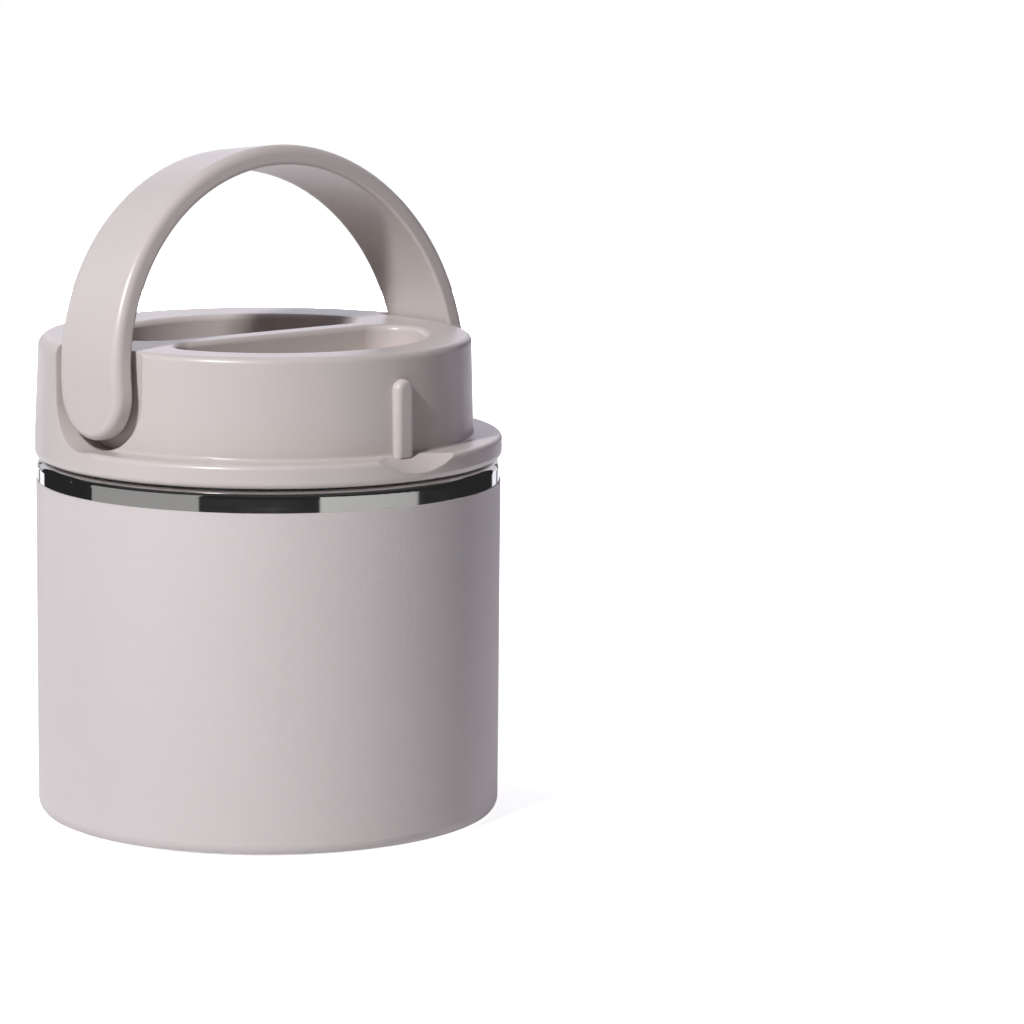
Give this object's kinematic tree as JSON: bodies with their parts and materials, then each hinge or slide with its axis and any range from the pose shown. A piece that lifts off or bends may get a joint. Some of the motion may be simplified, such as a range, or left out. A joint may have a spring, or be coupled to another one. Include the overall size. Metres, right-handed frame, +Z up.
{
  "type": "insulated food jar",
  "caption": "Wide-mouth double-wall vacuum food jar with a foam-filled screw lid, sunk finger wells and a folding arched carry handle.",
  "frame": {"origin": "centre of the base, on the surface that the jar stands on", "axes": "+Z up along the jar's axis, +X along the handle's hinge axis, and the handle folds forward towards -Y"},
  "size_m": [0.1004, 0.1004, 0.1441],
  "materials": {
    "polished_steel": "polished stainless steel, 18/8",
    "powder_coat": "fine-textured matte powder coat",
    "inner_steel": "electropolished stainless steel",
    "heat_foil": "copper foil, bright",
    "getter": "sintered getter alloy, dull",
    "sealing_glass": "fused solder glass, modelled as solid",
    "lid_plastic": "satin moulded polypropylene",
    "liner_plastic": "natural polypropylene",
    "foam": "closed-cell foam",
    "seal_rubber": "translucent silicone",
    "oring_rubber": "black nitrile rubber",
    "screw_steel": "zinc-plated steel"
  },
  "bodies": {
    "jar": {"outer_shell": "polished_steel", "powder_coat": "powder_coat", "inner_vessel": "inner_steel", "heat_foil": "heat_foil", "getter_cup": "inner_steel", "getter_pellet": "getter", "base_cap": "inner_steel", "vacuum_plug": "sealing_glass", "base_cover": "polished_steel"},
    "seal": {"lid_gasket": "seal_rubber"},
    "lid": {"lid_shell": "lid_plastic", "lid_liner": "liner_plastic", "lid_insulation": "foam"},
    "handle": {"handle": "lid_plastic", "pivot_orings": "oring_rubber", "pivot_washers": "screw_steel", "pivot_screws": "screw_steel"}
  },
  "joints": [
    {"name": "lid_rise", "type": "slide", "parent": "jar", "child": "seal", "axis": [0, 0, 1], "range_m": [0, 0.018]},
    {"name": "lid_turn", "type": "hinge", "parent": "seal", "child": "lid", "pos_m": [0, 0, 0.0904], "axis": [0, 0, 1], "range_deg": [0, 900]},
    {"name": "handle_fold", "type": "hinge", "parent": "lid", "child": "handle", "pos_m": [0, 0, 0.0932], "axis": [1, 0, 0], "range_deg": [0, 97]}
  ],
  "couplings": [
    {"joint": "lid_rise", "follows": "lid_turn", "m_per_rad": 0.0011459}
  ]
}
